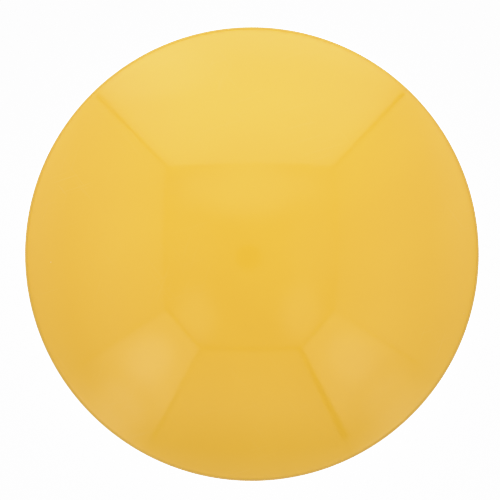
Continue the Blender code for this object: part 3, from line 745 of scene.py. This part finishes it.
def build_unit(number, angle, x, y, looks):
    def part(name, shape, slot, node, body="stone", sharp=32.0):
        return piece(f"{name}_detailed_{number}", shape, looks[slot], f"{node}_{number}",
                     (x, y, BALL_RADIUS), angle, sharp, body)

    ball = sphere(BALL_RADIUS, 72, 36)
    ball.transform(Matrix.Rotation(math.radians(63.0), 4, "Y"))
    part("main_ball", ball, "ball_steel", "main_ball", f"ball_{number}")

    latitude = math.radians(SUPPORT_LATITUDE)
    pitch, level = SUPPORT_CENTRE * math.cos(latitude), SUPPORT_CENTRE * math.sin(latitude)
    corners = [(pitch + across * CAGE_HALF_WIDTH, level + up * CAGE_HALF_HEIGHT, 0.2)
               for across, up in ((-1, -1), (1, -1), (1, 1), (-1, 1))]
    cage = turned(rounded(corners, steps=2), 72, True)
    balls = [moved(sphere(SUPPORT_RADIUS, 20, 12), dx, dy, z=level)
             for _, dx, dy in on_circle(pitch, SUPPORT_COUNT, 2.0)]
    part("support_balls", carved(cage, balls, "UNION"), "ball_steel", "support_balls",
         f"support_set_{number}")

    seat = arc(SEAT_OUTER, 0, 90, 16) + arc(SEAT_INNER, 90, 0, 16)
    seat[0], seat[-1] = (0.0, SEAT_OUTER), (0.0, SEAT_INNER)
    part("ball_seat", turned(seat, 48), "seat_steel", "ball_seat")

    housing = arc(CUP_OUTER, 0, 90, 16)
    housing[0] = (0.0, CUP_OUTER)
    housing += rounded([(CUP_OUTER, 0.0), (CUP_OUTER, FLANGE_TOP, 0.2),
                        (FLANGE_RADIUS, FLANGE_TOP, 0.5), (FLANGE_RADIUS, FLANGE_BOTTOM, 0.6),
                        (CUP_INNER, FLANGE_BOTTOM, 0.8), (CUP_INNER, 0.0)], False, 4)[1:-1]
    housing += arc(CUP_INNER, 90, 0, 16)
    housing[-1] = (0.0, CUP_INNER)
    holes = [moved(plug(PILOT_RADIUS, FLANGE_BOTTOM - OVERCUT, FLANGE_TOP + OVERCUT, 24), dx, dy)
             for _, dx, dy in on_circle(FLANGE_PITCH, FLANGE_COUNT)]
    part("ball_housing", carved(turned(housing, 96), holes, "DIFFERENCE"), "zinc",
         "ball_housing")

    top = FLANGE_BOTTOM - GAP
    bottom, groove = top - RETAINER_DEPTH, WIPER_OUTER + GAP
    retainer = [(CUP_OUTER, top, 0.2), (CUP_OUTER - 0.3, top - 1.3, 0.8), (14.6, bottom, 0.9),
                (RETAINER_OPENING, bottom, 0.5), (RETAINER_OPENING - 0.4, bottom + 1, 0.2),
                (groove, top - WIPER_DEPTH - GAP), (groove, top)]
    part("retainer", turned(rounded(retainer, steps=4), 96, True), "zinc", "retainer_ring")

    bottom = top - WIPER_DEPTH
    wiper = turned(rounded([(WIPER_INNER, bottom, 0.3), (WIPER_OUTER, bottom, 0.2),
                            (WIPER_OUTER, top, 0.2), (WIPER_INNER, top, 0.3)]), 96, True)
    for corner in wiper.verts:
        corner.co += Vector((0, 0, 0.06)) * noise.noise(corner.co * 1.3 + Vector((number, 0, 0)))
    part("wiper", wiper, "felt", "wiper_ring", sharp=60.0)
    build_flange_screws(number, angle, x, y, looks["black_steel"])


# Stage

CAMERA_HEIGHT, CAMERA_ASIDE, CAMERA_AWAY = 1.014, -0.00117, 0.00253
LENS_LENGTH = 110.92
# Display curve: light and how bright it is shown; white is at 2.0 before the curve
FILM_WHITE = 2.0
FILM_SHOULDER = ((0.5, 0.5), (0.7, 0.69), (0.93, 0.855), (1.1, 0.905), (1.3, 0.945),
                 (1.6, 0.985), (1.75, 1.0))

# The booth: a hexagonal front panel round the camera, six walls, dark seams, the camera's lens
BOOTH = [(-0.382, 0.391), (0.371, 0.391), (0.365, -0.243), (0.214, -0.4215), (-0.2255, -0.4215),
         (-0.377, -0.244)]
BOOTH_TOP, FRONT_REACH = CAMERA_HEIGHT + 0.002, 0.45
LENS_PLACE, LENS_RADIUS, LENS_GLOW = (-0.013, -0.015), 0.053, 0.13
# Widths of the dark seams at the corners, and along the front from the corner of the same number
CORNER_SEAMS = (0.014, 0.011, 0.003, 0.020, 0.007, 0.003)
CORNER_SEAM_BOTTOM, SEAM_AHEAD = 0.39, 0.004
FRONT_SEAMS = (0.0, 0.004, 0.011, 0.015, 0.012, 0.005)
# How much of its glow each wall loses at its ends, and how far from them it fades
EDGE_FALLS, EDGE_FALL_REACH = (0.38, 0.0, 0.1, 0.15, 0.1, 0.0), 0.025
# How much of its neighbour's glow a wall takes at a corner, over which distance, between heights
CORNER_MIX, CORNER_MIX_REACH, CORNER_MIX_HEIGHTS = 0.5, 0.08, (0.36, 0.50)
# Glow low, halfway and high on each wall, at its start (the corner of its number) and at its end
WALL_GLOW = [((2.7, 2.0, 2.1), (2.7, 2.1, 1.9)),
             ((2.3, 1.2, 1.0), (0.7, 0.8, 1.0)),
             ((2.3, 0.8, 1.3), (2.4, 0.8, 1.3)),
             ((1.1, 0.4, 0.8), (1.1, 0.4, 0.8)),
             ((2.5, 0.9, 1.5), (2.4, 0.9, 1.4)),
             ((0.6, 0.6, 0.9), (2.3, 1.4, 1.3))]
# Heights of the foot, of those three levels and of the top, which keeps a share of the high level
WALL_HEIGHTS = (0.16, 0.27, 0.38, 0.55, 0.95)
FOOT_GLOW, TOP_SHARE = 0.2, 0.8
FRONT_GLOW = 0.47
# Soft bright patches on the front: place, half-widths, glow
FRONT_PATCHES = [((-0.015, 0.29), (0.26, 0.14), 0.7), ((-0.24, -0.27), (0.09, 0.13), 0.5),
                 ((0.21, -0.25), (0.09, 0.13), 0.5), ((-0.27, 0.03), (0.13, 0.17), 0.15),
                 ((0.27, 0.03), (0.13, 0.17), 0.25), ((-0.30, 0.30), (0.10, 0.12), 0.25),
                 ((0.30, 0.30), (0.10, 0.12), 0.25)]
# Soft bright patches on walls: wall, share of its width, height, half-widths, glow
WALL_PATCHES = [(4, 0.56, 0.665, (0.07, 0.17), 0.75), (4, 0.45, 0.40, (0.07, 0.07), 0.7),
                (2, 0.42, 0.675, (0.07, 0.17), 0.5), (2, 0.42, 0.394, (0.07, 0.07), 0.5),
                (0, 0.20, 0.38, (0.16, 0.10), 0.6)]
PATCH_SHARPNESS = 2.2

# The floor: its glow grows from the ground under the stone outwards, a painted shadow at the
# stone's foot
FLOOR_REACH, FLOOR_SHADE, FLOOR_GLOW, BACKDROP_GLOW = 12.0, (0.112, 0.149), 1.8, 1.8
# Rings of a bright tray round the stone, seen only in reflections: radius, height, glow
TRAY = ((0.165, -0.0005, 1.5), (0.352, -0.0005, 1.2), (0.352, 0.08, 0.9), (0.352, 0.15, 0.5))
TRAY_SIDES = 64
# Light from below: a dim field with soft lamps: place, inner and outer radius, glow
LIGHT_BELOW, BELOW_GLOW = -0.30, 0.45
LAMPS_BELOW = ((0.24, 0.20, 0.10, 0.22, 1.7), (-0.34, -0.06, 0.12, 0.30, 0.9),
               (0.05, -0.50, 0.10, 0.26, 0.8))


def glow_look(name, strength):
    """An emission material; strength is a number or a function of the material's tools."""
    look = Look(name, (1, 1, 1), 1.0)
    look.tree.nodes.remove(look.shader)
    emission = look.node("Emission", {"Color": (1.0, 1.0, 1.0)})
    look.put(emission.inputs["Strength"], strength(look) if callable(strength) else strength)
    output = look.tree.nodes["Material Output"]
    look.tree.links.new(emission.outputs[0], output.inputs["Surface"])
    look.emission = emission
    return look


def attribute_glow():
    """Glows as much as the mesh's "glow" attribute says."""
    return glow_look("booth_glow", lambda look: look.node("Attribute", {}, attribute_name="glow")
                     .outputs["Fac"]).material


def stage_mesh(name, corners, look, faces=None, levels=None, camera=False):
    """A piece of the stage, one face if none are given; levels are its corners' "glow"."""
    mesh = bpy.data.meshes.new(name)
    mesh.from_pydata(corners, [], faces or [tuple(range(len(corners)))])
    mesh.materials.append(look)
    if levels:
        mesh.attributes.new("glow", "FLOAT", "POINT").data.foreach_set("value", levels)
    made = bpy.data.objects.new(name, mesh)
    bpy.context.collection.objects.link(made)
    made.visible_camera = camera
    return made


def between(levels, places, here):
    """The level at a place, in straight steps between the levels at the places."""
    for index in range(len(places) - 1):
        if here <= places[index + 1]:
            share = max(0.0, (here - places[index]) / (places[index + 1] - places[index]))
            return levels[index] + (levels[index + 1] - levels[index]) * share
    return levels[-1]


def soft_patch(across, up, half_widths):
    far = (across / half_widths[0]) ** 2 + (up / half_widths[1]) ** 2
    return math.exp(-far ** PATCH_SHARPNESS)


def front_glow(x, y):
    return FRONT_GLOW + sum(glow * soft_patch(x - place[0], y - place[1], half)
                            for place, half, glow in FRONT_PATCHES)


def wall_level(levels, height):
    low, halfway, high = levels
    return between((FOOT_GLOW, low, halfway, high, TOP_SHARE * high), WALL_HEIGHTS, height)


def wall_glow(number, share, height, width):
    start, end = (wall_level(levels, height) for levels in WALL_GLOW[number])
    total = start + (end - start) * share
    # Low down, both walls of a corner run into each other
    to_corner = min(share, 1.0 - share) * width
    other = WALL_GLOW[number - 1][1] if share < 0.5 else WALL_GLOW[(number + 1) % 6][0]
    mix = CORNER_MIX * math.exp(-to_corner / CORNER_MIX_REACH)
    mix *= between((1.0, 0.0), CORNER_MIX_HEIGHTS, height)
    total += (wall_level(other, height) - total) * mix
    total *= 1 - EDGE_FALLS[number] * math.exp(-to_corner / EDGE_FALL_REACH)
    for wall, at_share, at_height, half, glow in WALL_PATCHES:
        if wall == number:
            total += glow * soft_patch((share - at_share) * width, height - at_height, half)
    return total


def panel(name, place, glow_at, columns, rows, look):
    """A grid of columns by rows; place and glow_at give a corner and its glow from two shares."""
    shares = [(column / columns, row / rows) for row in range(rows + 1)
              for column in range(columns + 1)]
    faces = [(row * (columns + 1) + column, row * (columns + 1) + column + 1,
              (row + 1) * (columns + 1) + column + 1, (row + 1) * (columns + 1) + column)
             for row in range(rows) for column in range(columns)]
    stage_mesh(name, [place(*share) for share in shares], look, faces,
               [glow_at(*share) for share in shares])


def build_seams(number, start, end, look):
    """The dark strips in a wall's first corner and along the front panel's edge."""
    (ax, ay), (bx, by) = start, end
    reach = math.hypot(ax, ay)
    inx, iny = -ax / reach, -ay / reach
    x, y, half = ax + inx * SEAM_AHEAD, ay + iny * SEAM_AHEAD, CORNER_SEAMS[number] / 2
    left, right = (x - iny * half, y + inx * half), (x + iny * half, y - inx * half)
    strip = [(*left, CORNER_SEAM_BOTTOM), (*right, CORNER_SEAM_BOTTOM), (*right, BOOTH_TOP),
             (*left, BOOTH_TOP)]
    stage_mesh(f"corner_seam_{number}", strip, look)
    seam, level = FRONT_SEAMS[number], CAMERA_HEIGHT
    if seam:
        width = math.hypot(bx - ax, by - ay)
        inx, iny = (by - ay) / width * seam, -(bx - ax) / width * seam
        strip = [(ax, ay, level), (bx, by, level), (bx + inx, by + iny, level),
                 (ax + inx, ay + iny, level)]
        stage_mesh(f"front_seam_{number}", strip, look)


def build_booth():
    glow, dark = attribute_glow(), glow_look("seam_dark", 0.0).material

    def front(share):
        return FRONT_REACH * (2 * share - 1)

    panel("booth_front", lambda s, t: (front(s), front(t), BOOTH_TOP),
          lambda s, t: front_glow(front(s), front(t)), 36, 36, glow)
    for number, (ax, ay) in enumerate(BOOTH):
        bx, by = BOOTH[(number + 1) % 6]
        width = math.hypot(bx - ax, by - ay)
        panel(f"booth_wall_{number}",
              lambda s, t: (ax + (bx - ax) * s, ay + (by - ay) * s, BOOTH_TOP * t),
              lambda s, t: wall_glow(number, s, BOOTH_TOP * t, width), 30, 40, glow)
        build_seams(number, (ax, ay), (bx, by), dark)
    rim = [(LENS_PLACE[0] + LENS_RADIUS * math.cos(angle),
            LENS_PLACE[1] + LENS_RADIUS * math.sin(angle), CAMERA_HEIGHT - 0.001)
           for angle in even_angles(48)]
    stage_mesh("lens", rim, glow_look("lens_glow", LENS_GLOW).material)


def floor_look():
    """Pale floor with a painted shadow: bright but for the ground right under the stone; clear when
    seen from below.
    """
    # Painted shadow: the glow is nought inside the first FLOOR_SHADE radius and full beyond the
    # second
    look = glow_look("floor_pale",
                     lambda look: look.remap(look.reach(), *FLOOR_SHADE, 0.0, FLOOR_GLOW))
    white = look.node("BsdfDiffuse", {"Color": (0.8, 0.8, 0.8)})
    both = look.node("AddShader", {0: look.emission.outputs[0], 1: white.outputs[0]})
    clear = look.node("BsdfTransparent", {})
    behind = look.node("NewGeometry", {}).outputs["Backfacing"]
    mix = look.node("MixShader", {0: behind, 1: both.outputs[0], 2: clear.outputs[0]})
    look.tree.links.new(mix.outputs[0], look.tree.nodes["Material Output"].inputs["Surface"])
    return look.material


def underlight(look):
    """Light from under the clear floor: soft lamps in a dim field."""
    total = BELOW_GLOW
    for x, y, inner, outer, glow in LAMPS_BELOW:
        away = look.node("VectorMath", {0: look.place, 1: (x, y, LIGHT_BELOW)},
                         operation="DISTANCE").outputs["Value"]
        total = look.maths("ADD", look.remap(away, outer, inner, 0.0, glow), total)
    return total


def build_floor():
    square = [(x * FLOOR_REACH, y * FLOOR_REACH) for x, y in ((-1, -1), (1, -1), (1, 1), (-1, 1))]
    floor = stage_mesh("floor", [(x, y, 0.0) for x, y in square], floor_look(), camera=True)
    floor.visible_diffuse = floor.visible_glossy = floor.visible_shadow = False
    floor.visible_transmission = False
    corners = [(radius * math.cos(angle), radius * math.sin(angle), height)
               for radius, height, _ in TRAY for angle in even_angles(TRAY_SIDES)]
    faces = []
    for ring in range(0, TRAY_SIDES * (len(TRAY) - 1), TRAY_SIDES):
        for step in range(TRAY_SIDES):
            after = (step + 1) % TRAY_SIDES
            faces.append((ring + step, ring + after, ring + TRAY_SIDES + after,
                          ring + TRAY_SIDES + step))
    bounce = stage_mesh("floor_bounce", corners, attribute_glow(), faces,
                        [glow for _, _, glow in TRAY for step in range(TRAY_SIDES)])
    bounce.visible_diffuse = bounce.visible_shadow = bounce.visible_transmission = False
    stage_mesh("floor_light", [(x, y, LIGHT_BELOW) for x, y in square],
               glow_look("floor_glow", underlight).material)


def build_world():
    world = bpy.data.worlds.new("world")
    world.use_nodes = True
    background = world.node_tree.nodes["Background"]
    background.inputs["Color"].default_value = (1, 1, 1, 1)
    background.inputs["Strength"].default_value = BACKDROP_GLOW
    bpy.context.scene.world = world


def build_camera():
    data = bpy.data.cameras.new("camera")
    data.lens, data.sensor_width = LENS_LENGTH, 36.0
    camera = bpy.data.objects.new("camera", data)
    camera.location = (CAMERA_ASIDE, CAMERA_AWAY, CAMERA_HEIGHT)
    bpy.context.collection.objects.link(camera)
    bpy.context.scene.camera = camera


def set_film():
    """A film shoulder: light stays linear to about 0.7 and reaches white at 1.75."""
    view = bpy.context.scene.view_settings
    view.view_transform = "Standard"
    view.use_curve_mapping = True
    mapping = view.curve_mapping
    mapping.white_level = (FILM_WHITE, FILM_WHITE, FILM_WHITE)
    curve = mapping.curves[3]
    curve.points[0].location = (0.0, 0.0)
    curve.points[1].location = (1.0, 1.0)
    for light, shown in FILM_SHOULDER:
        curve.points.new(light / FILM_WHITE, shown)
    mapping.update()


def build_stone():
    looks = {"zinc": zinc_look(), "black_steel": black_steel_look(), "rubber": rubber_look(),
             "ball_steel": steel_look("polished_ball_steel", (0.66, 0.66, 0.67), 0.07),
             "seat_steel": steel_look("hardened_seat_steel", (0.42, 0.42, 0.44), 0.26),
             "ballast": ballast_look(), "felt": felt_look(), "foam": foam_look()}
    piece("cover_detailed", cover_shape(), cover_look(), "dome_cover")
    piece("base_detailed", base_shape(), base_look(), "base_tray")
    piece("bumper_detailed", bumper_shape(), looks["rubber"], "bumper_ring")
    build_shell_screws(looks["black_steel"])
    build_ballast(looks)
    build_foam(looks["foam"])
    for number, (angle, x, y) in enumerate(on_circle(UNIT_PITCH, UNIT_COUNT, UNIT_FIRST_ANGLE), 1):
        build_unit(number, angle, x, y, looks)


build_camera()
set_film()
build_world()
build_booth()
build_floor()
build_stone()
